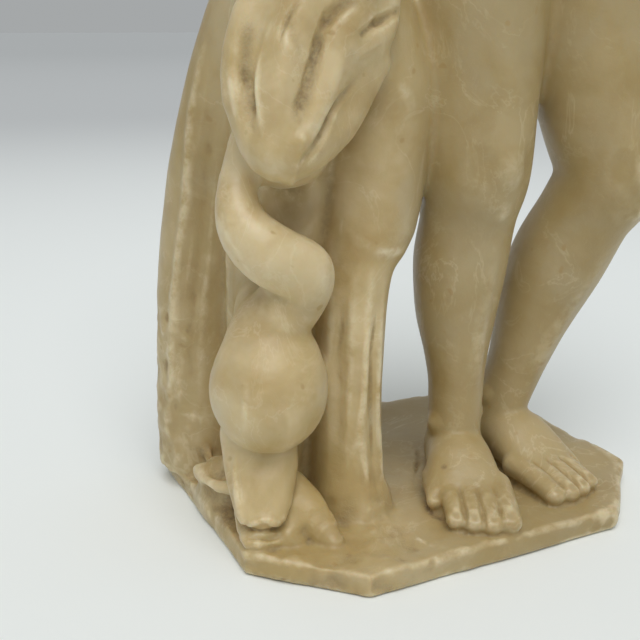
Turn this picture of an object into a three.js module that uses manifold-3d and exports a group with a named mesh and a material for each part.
// A classical marble statuette carved from one block with its plinth: a nude goddess who stands on her right
// leg, rests her right hand on a cloth heaped over a pillar, and has a dolphin, head down, at the pillar's foot.
// Millimetres. +Z is up, +X is the figure's left, and she faces -Y. The origin is the middle of the plinth's underside.
import * as THREE from "three";
import { mergeVertices } from "three/addons/utils/BufferGeometryUtils.js";
import Module from "manifold-3d";

const wasm = await Module();
wasm.setup();

// Plinth
const PLINTH_WIDTH = 165;
const PLINTH_DEPTH = 129.6;
const PLINTH_HEIGHT = 8.5;
const FRONT_CHAMFER = 31;
const BACK_CHAMFER = 9;
const EDGE_WEAR = 1.6;

// Figure: where the bones meet, with the weight on the right leg and the left knee bent
const RIGHT_LEG = [[21, -3, 236], [16, -17, 128], [13.5, -13, 30]];
const LEFT_LEG = [[57, -1, 232], [64.5, -31, 126], [42, -4, 32]];
const RIGHT_ARM = [[-17, 3, 351], [-41, 13, 279], [-42, -12, 227]];
const LEFT_ARM = [[70, 3, 356], [89, 10, 286], [63, -27, 243]];
const NECK = [24.5, 2, 362];
const HEAD = [22, -5, 405];
const HEAD_TURN = -15; // degrees about +Z, towards the figure's right
const HEAD_NOD = 5;
const RIGHT_FOOT_TURN = -25;
const LEFT_FOOT_TURN = 4;

// Pillar and cloth
const PILLAR_TOP = 194;
const HEAP_TOP = 208;
const MARBLE = 0xc9b48c;

// Half width, half depth and setback of a limb along its two bones: 0 is the upper joint, 1 the middle, 2 the lower
const LEG = [
  [0, 22, 25, 0],
  [0.2, 25, 27, 1],
  [0.43, 24.5, 26.5, 1],
  [0.66, 22.3, 24.3, 0.5],
  [0.84, 20.3, 22, 0],
  [1, 18.6, 19.8, 0],
  [1.15, 17, 17.8, 2.5],
  [1.34, 17.4, 18.8, 5.5],
  [1.52, 15.6, 17.2, 6],
  [1.7, 12.2, 14.2, 3.5],
  [1.86, 10.4, 12, 1.2],
  [2.12, 10, 12.8, 0],
];
const ARM = [
  [0, 12, 12.5, 0],
  [0.35, 12, 12.8, 1],
  [0.72, 10.6, 11.4, 0.5],
  [1, 9.4, 9.8, 0],
  [1.25, 9.9, 9.9, 0],
  [1.65, 8.4, 7.8, 0],
  [2, 6.6, 5.4, 0],
];

// A closed mesh as a solid that can be joined and cut
function solid(geometry) {
  const bare = new THREE.BufferGeometry().setAttribute("position", geometry.getAttribute("position"));
  if (geometry.index) bare.setIndex(geometry.index);
  const merged = mergeVertices(bare, 1e-3);
  const vertProperties = merged.attributes.position.array;
  const triVerts = new Uint32Array(merged.index.array);
  return new wasm.Manifold(new wasm.Mesh({ numProp: 3, vertProperties, triVerts }));
}

const vector = ([x, y, z]) => new THREE.Vector3(x, y, z);
const spline = (points) => new THREE.CatmullRomCurve3(points, false, "catmullrom", 0.5);
const mix = (a, b, t) => a.map((value, i) => value + (b[i] - value) * t);
const both = (make) => [make(1), make(-1)];

// A round form that follows a smooth line. Each station is [x, y, z, half width, half depth]: the half width
// lies along across, and the half depth at right angles to it. caps counts the steps that round off each end: an
// end buried in another form takes one, and flat cuts the first end square.
function stroke(stations, { across = [1, 0, 0], sides = 10, steps = 1, caps = [2, 2], flat = false } = {}) {
  const line = spline(stations.map(vector));
  const size = spline(stations.map(([, , , wide, deep = wide]) => new THREE.Vector3(wide, deep, 0)));
  const count = (stations.length - 1) * steps;
  const [start, end] = caps.map((cap) => Array.from({ length: cap }, (_, k) => (Math.PI / 2) * (1 - k / cap)));
  const shares = Array.from({ length: count + 1 }, (_, i) => i / count);
  const rings = [
    ...start.map((angle) => ({ t: 0, shift: flat ? 0 : -Math.sin(angle), scale: Math.cos(angle) })),
    ...shares.map((t) => ({ t, shift: 0, scale: 1 })),
    ...end.reverse().map((angle) => ({ t: 1, shift: Math.sin(angle), scale: Math.cos(angle) })),
  ];
  const geometry = new THREE.SphereGeometry(1, sides, rings.length - 1);
  const position = geometry.getAttribute("position");
  rings.forEach(({ t, shift, scale }, row) => {
    const [at, along, half] = [line.getPoint(t), line.getTangent(t), size.getPoint(t)];
    const side = vector(across);
    side.addScaledVector(along, -side.dot(along)).normalize();
    const front = side.clone().cross(along);
    const pole = row === 0 || row === rings.length - 1;
    at.addScaledVector(along, shift * Math.min(half.x, half.y));
    for (let column = 0; column <= sides; column++) {
      const angle = (2 * Math.PI * (column % sides)) / sides;
      const reach = pole ? 0 : scale;
      const point = at.clone();
      point.addScaledVector(side, reach * half.x * Math.cos(angle));
      point.addScaledVector(front, reach * half.y * Math.sin(angle));
      position.setXYZ(row * (sides + 1) + column, point.x, point.y, point.z);
    }
  });
  return solid(geometry);
}

// An ellipsoid
function pebble([x, y, z], half, sides = 12, rows = 8) {
  const geometry = new THREE.SphereGeometry(1, sides, rows).rotateX(Math.PI / 2);
  return solid(geometry.scale(...half).translate(x, y, z));
}

const BURIED = [1, 1];
const ROOTED = [1, 2];
const join = (forms) => forms.reduce((all, form) => all.add(form));

// A limb from its two bones and its profile
function limb([upper, middle, lower], profile, options) {
  const stations = profile.map(([share, wide, deep, back]) => {
    const [x, y, z] = share < 1 ? mix(upper, middle, share) : mix(middle, lower, share - 1);
    return [x, y + back, z, wide, deep];
  });
  return stroke(stations, { caps: BURIED, ...options });
}

// The irregular plinth: a rectangle with wide chamfers at its front corners and a worn edge
function plinth() {
  const [x, y] = [PLINTH_WIDTH / 2, PLINTH_DEPTH / 2];
  const outline = [
    [x, -y + FRONT_CHAMFER],
    [x, y - BACK_CHAMFER],
    [x - BACK_CHAMFER, y],
    [-x + BACK_CHAMFER, y],
    [-x, y - BACK_CHAMFER],
    [-x, -y + FRONT_CHAMFER],
    [-x + FRONT_CHAMFER, -y],
    [x - FRONT_CHAMFER, -y],
  ].map(([px, py]) => new THREE.Vector2(px, py));
  const slab = new THREE.ExtrudeGeometry(new THREE.Shape(outline), {
    depth: PLINTH_HEIGHT - 2 * EDGE_WEAR,
    bevelThickness: EDGE_WEAR,
    bevelSize: EDGE_WEAR,
    bevelOffset: -EDGE_WEAR,
    bevelSegments: 1,
  });
  return solid(slab.translate(0, 0, EDGE_WEAR));
}

// A foot in its own frame: x towards the big toe's side, y ahead, z up from the plinth, origin below the ankle
function foot() {
  const sole = [
    [0, -14, 8, 8.5, 9],
    [0, -2, 10, 10.5, 12],
    [0.5, 11, 10.5, 12.5, 11.5],
    [0.5, 22, 8, 15, 8.5],
    [0.5, 30, 5.5, 16.5, 6],
  ];
  const toes = [0, 1, 2, 3, 4].map((i) => {
    const girth = i === 0 ? 4.8 : 4 - 0.08 * i;
    const [x, root, length] = [14.4 - 6.9 * i, 32.5 - 0.3 * i * i, i === 0 ? 14 : 17 - 2.2 * i];
    const inward = -0.6 * (2 - i);
    return [
      [x, root - 3, 5.6, girth, girth],
      [x + inward / 2, root + length / 2, 5, 0.8 * girth, 0.9 * girth],
      [x + inward, root + length, 3.6, 0.85 * girth, 0.8 * girth],
    ];
  });
  return join([stroke(sole, { sides: 12 }), ...toes.map((toe) => stroke(toe, { sides: 6, caps: ROOTED }))]);
}

function feet() {
  const right = foot().mirror([1, 0, 0]).rotate([0, 0, 180 + RIGHT_FOOT_TURN]);
  const left = foot().rotate([0, 0, 180 + LEFT_FOOT_TURN]);
  return [
    right.translate([RIGHT_LEG[2][0], RIGHT_LEG[2][1], PLINTH_HEIGHT]),
    left.translate([LEFT_LEG[2][0], LEFT_LEG[2][1], PLINTH_HEIGHT]),
  ];
}

// The trunk from the hips to the neck, with the curve of a body that rests on one leg
function trunk() {
  const middle = [
    [39, -3, 214, 35, 21],
    [39.5, -3, 230, 40.5, 24],
    [38, -1, 246, 37.5, 22.5],
    [35, 0, 263, 29.5, 20],
    [32.5, 0, 279, 27, 19.3],
    [30.5, 0.5, 298, 30, 21],
    [28, 1, 319, 34, 21.5],
    [26.5, 2, 338, 36.5, 18.5],
    [26, 3, 351, 34, 14.5],
    [25.5, 3, 360, 17, 12],
    [24, 0.5, 372, 11.5, 11.5],
    [22.5, -1, 388, 11, 11.5],
  ];
  const [x, y, z] = NECK;
  return [
    stroke(middle, { sides: 16, caps: BURIED }),
    ...both((s) => pebble([28.5 + s * 15, -8, 317], [15, 15, 15], 12, 8)),
    ...both((s) => pebble([39.5 + s * 17, 4, 222 - s * 3], [22, 22, 25], 12, 8)),
    pebble([38, -10, 240], [26, 14, 22], 12, 6),
    ...[RIGHT_ARM, LEFT_ARM].map(([[sx, sy, sz]]) => {
      const slope = [[x, y, z + 10, 7.5], [(x + sx) / 2, y + 1, (z + sz) / 2 + 3, 9.5], [sx, sy, sz, 13]];
      return stroke(slope, { across: [0, 0, 1], sides: 8, caps: ROOTED });
    }),
  ];
}

// A hand: its palm runs from the wrist to the knuckles, and its fingers bend over towards their tips
function hand({ wrist, knuckles, tips, spread, lift, thumb }) {
  const [start, end, apart, up] = [vector(knuckles), vector(tips), vector(spread), vector(lift)];
  const palm = [wrist.concat(6.6, 4.8), mix(wrist, knuckles, 0.55).concat(8.8, 5), knuckles.concat(9.6, 4.3)];
  const fingers = [0, 1, 2, 3].map((i) => {
    const root = start.clone().addScaledVector(apart, i - 1.5);
    const tip = end.clone().addScaledVector(apart, 0.9 * (i - 1.5));
    tip.lerp(root, [0.12, 0, 0.05, 0.25][i]);
    const knee = root.clone().lerp(tip, 0.5).add(up);
    const finger = [root.toArray().concat(3.4), knee.toArray().concat(3.1), tip.toArray().concat(2.6)];
    return stroke(finger, { sides: 6, caps: ROOTED });
  });
  return [
    stroke(palm, { across: spread, sides: 8, caps: BURIED }),
    ...fingers,
    stroke(thumb.map((point, i) => [...point, 3.9 - 0.5 * i]), { sides: 6, caps: ROOTED }),
  ];
}

function arms() {
  return [
    limb(RIGHT_ARM, ARM, { sides: 10 }),
    limb(LEFT_ARM, ARM, { across: [0.7, 0.3, 0.6], sides: 10 }),
    ...hand({
      wrist: [-42, -14, 225.5],
      knuckles: [-43, -29, 212],
      tips: [-44, -40, 198],
      spread: [-4.9, 0.8, 0],
      lift: [0, -2.5, 2.5],
      thumb: [[-35.5, -18, 219.5], [-30, -25, 211.5], [-28.5, -32, 205]],
    }),
    ...hand({
      wrist: [63, -27.5, 243],
      knuckles: [48.5, -35, 229],
      tips: [31.5, -36, 217.5],
      spread: [-2.1, 0.1, 4],
      lift: [-0.5, -2.5, 0.5],
      thumb: [[57, -32.5, 242.5], [49.5, -36, 243.5], [43.5, -36.5, 240.5]],
    }),
  ];
}

// The head in its own frame: x to its left, y to its back, z up, origin between the ears
function head() {
  const lock = (side, layer) => {
    const stations = [0.04, 0.22, 0.4, 0.6, 0.8, 1].map((share) => {
      const around = Math.PI * share;
      const up = 17 + 4.5 * layer - (15 - 2 * layer) * Math.sin(around / 2) ** 2;
      const girth = Math.sqrt(Math.max(1 - ((up - 8) / 22) ** 2, 0.1));
      return [side * 20.5 * girth * Math.sin(around), 3 - 23 * girth * Math.cos(around), up, 4.2];
    });
    return stroke(stations, { across: [0, 0, 1], sides: 6, caps: BURIED });
  };
  const forms = [
    pebble([0, 3, 8], [20, 24, 20.5], 12, 8),
    stroke([[0, -6, 9, 17, 13.5], [0, -7, -5, 15.5, 13.3], [0, -9, -14.5, 11.5, 11], [0, -12, -20.5, 7, 7.5]], { sides: 12, caps: ROOTED }),
    pebble([0, -17.5, -22], [5.5, 5, 4.5], 8, 6),
    stroke([[0, -18.5, 5, 2.6, 3], [0, -21.7, -1.5, 2.8, 3], [0, -24, -6.6, 3.6, 2.8]], { sides: 6 }),
    ...both((s) => pebble([s * 7.4, -15.6, 0.6], [4.6, 4, 3], 8, 6)),
    ...both((s) => stroke([[s * 2.5, -19, 5, 1.8], [s * 8, -18, 6.4, 1.9], [s * 14, -13, 4, 1.8]], { sides: 6 })),
    stroke([[-5.6, -18.6, -12.6, 1.2], [0, -21, -12.2, 1.8], [5.6, -18.6, -12.6, 1.2]], { sides: 6, caps: BURIED }),
    stroke([[-4.8, -18.4, -15, 1.3], [0, -20.2, -15.6, 2.2], [4.8, -18.4, -15, 1.3]], { sides: 6, caps: BURIED }),
    ...both((s) => pebble([s * 16.6, 1, -3], [2.6, 4.6, 6.6], 6, 6)),
    pebble([0, 30, 5], [9.5, 9.5, 9], 10, 8),
    ...[0, 1, 2].flatMap((layer) => both((s) => lock(s, layer))),
  ];
  return join(forms).rotate([HEAD_NOD, 0, 0]).rotate([0, 0, HEAD_TURN]).translate(HEAD);
}

// A long fall of cloth that stands on the plinth and leans over to its top, more and more towards the end
function fall(footing, top, [wide, deep], narrowing) {
  const from = [...footing, PLINTH_HEIGHT - 1];
  const stations = [0, 0.25, 0.5, 0.7, 0.86, 1].map((t) => {
    const lean = t ** 2.6;
    const girth = 1 - narrowing * lean;
    const [x, y] = mix(from, top, lean);
    return [x, y, from[2] + (top[2] - from[2]) * t, wide * girth, deep * girth];
  });
  return stroke(stations, { sides: 11, caps: BURIED, flat: true });
}

// The pillar under the cloth, hollowed at the front left, where the dolphin stands
function pillar() {
  const edge = [
    [-36, -18, PLINTH_HEIGHT - 1, 14.5, 17],
    [-34.5, -14, 30, 12.5, 15],
    [-33, -12, 70, 12.5, 15],
    [-27, -11, 100, 14, 15],
    [-20, -9, 134, 16, 15],
    [-19, -9, 160, 16, 15],
    [-27, -8, 188, 15, 13],
  ];
  return [
    fall([-68.5, 45.5], [-52, 10, PILLAR_TOP], [18.5, 18.5], 0.15),
    fall([-43, 44], [-38, 10, PILLAR_TOP], [19, 19.5], 0.15),
    fall([-50, 12], [-45, 2, PILLAR_TOP], [19, 20], 0.05),
    stroke(edge, { sides: 11, caps: BURIED, flat: true }),
    stroke([[-57, -13, 138, 15, 12], [-56, -13, 160, 17, 14], [-50, -11, 186, 18, 14], [-43, -8, 200, 14, 12]], { sides: 10 }),
    pebble([-43, -4, 195], [25, 24, HEAP_TOP - 195], 12, 6),
  ];
}

// The heaped cloth in front: rolls that hang from under the hand, turn at the hem and rise again
function cloth() {
  const across = [0.9, -0.44, 0];
  const outer = [[-52, -18, 202, 5], [-68, -17, 180, 6], [-74, -22, 155, 6], [-66.5, -29, 136, 5.5]];
  const inner = [
    [-47, -26, 204, 5],
    [-62, -27.5, 172, 6.5],
    [-67, -30, 152, 7],
    [-61, -32.5, 143, 6.5],
    [-53, -32, 160, 5.6],
    [-45.7, -30.5, 178, 6],
    [-38, -27, 195, 6],
  ];
  const band = [[-67, -28, 136, 4.5, 6], [-60.5, -30, 133, 4.8, 6], [-44, -29, 145, 4.8, 5.5], [-30, -25, 166, 4, 4.5]];
  const lobe = [[-43, -30, 182, 5.5], [-37, -31, 173, 5.5], [-29, -26, 178, 5.5], [-27, -20, 192, 6]];
  return [outer, inner, band, lobe].map((roll) => stroke(roll, { across, sides: 7, steps: 2, caps: BURIED }));
}

// The dolphin stands on its beak: the round brow, the body that loops across, and the tail under the cloth
function dolphin() {
  const body = [
    [-66, -19, 66, 18, 16],
    [-65, -18, 80, 13.5, 12],
    [-57.5, -21, 92, 11, 11],
    [-57.5, -27, 101, 10.5, 10],
    [-69, -27, 108, 10.5, 9.5],
    [-76, -21.5, 117, 8.5, 8],
    [-75, -15.5, 128, 6.5, 6.5],
    [-70, -12.5, 140, 6, 6],
  ];
  const across = [0.9, -0.44, 0];
  const beak = [[-69, -17, 40, 13, 11], [-70.5, -23, 31, 12, 8], [-73, -27.5, 24, 9.5, 6], [-75, -32, 18.5, 7, 3.2]];
  const jaw = [[-71, -20, 14, 9, 6], [-74, -28, 11.5, 7.5, 4], [-76, -33.5, 11, 6, 2.6]];
  return [
    stroke(body, { across: [0.5, -0.3, 0.8], sides: 9, steps: 2, caps: BURIED }),
    pebble([-67.5, -20.5, 61], [20, 19, 20.5], 14, 10),
    stroke(beak, { across, sides: 8, caps: ROOTED }),
    stroke(jaw, { across, sides: 8, caps: ROOTED }),
    stroke([[-78, -17, 29, 5], [-82, -4, 25, 4.2], [-81, 8, 21, 4.5], [-77, 22, 20, 6]], { sides: 6, caps: BURIED }),
    stroke([[-58, -25, 24, 7], [-55, -34, 16, 5.5], [-53.5, -42, 10.5, 3]], { sides: 6, caps: ROOTED }),
    stroke([[-62, 0, PLINTH_HEIGHT - 1, 15, 14], [-62, -4, 50, 14, 12], [-60, -4, 84, 12, 11]], { sides: 8, caps: BURIED, flat: true }),
  ];
}

function statue() {
  const block = join([
    plinth(),
    limb(RIGHT_LEG, LEG, { across: [0.94, -0.34, 0], sides: 14 }),
    limb(LEFT_LEG, LEG, { sides: 14 }),
    ...feet(),
    ...trunk(),
    ...arms(),
    head(),
    ...pillar(),
    ...cloth(),
    ...dolphin(),
  ]);
  const { vertProperties, triVerts } = block.getMesh();
  const geometry = new THREE.BufferGeometry();
  geometry.setAttribute("position", new THREE.BufferAttribute(vertProperties, 3));
  geometry.setIndex(new THREE.BufferAttribute(triVerts, 1));
  geometry.computeVertexNormals();
  const marble = new THREE.MeshStandardMaterial({ color: MARBLE, roughness: 0.42, metalness: 0 });
  const mesh = new THREE.Mesh(geometry, marble);
  mesh.name = "statue";
  return mesh;
}

const model = new THREE.Group();
model.add(statue());
export default model;
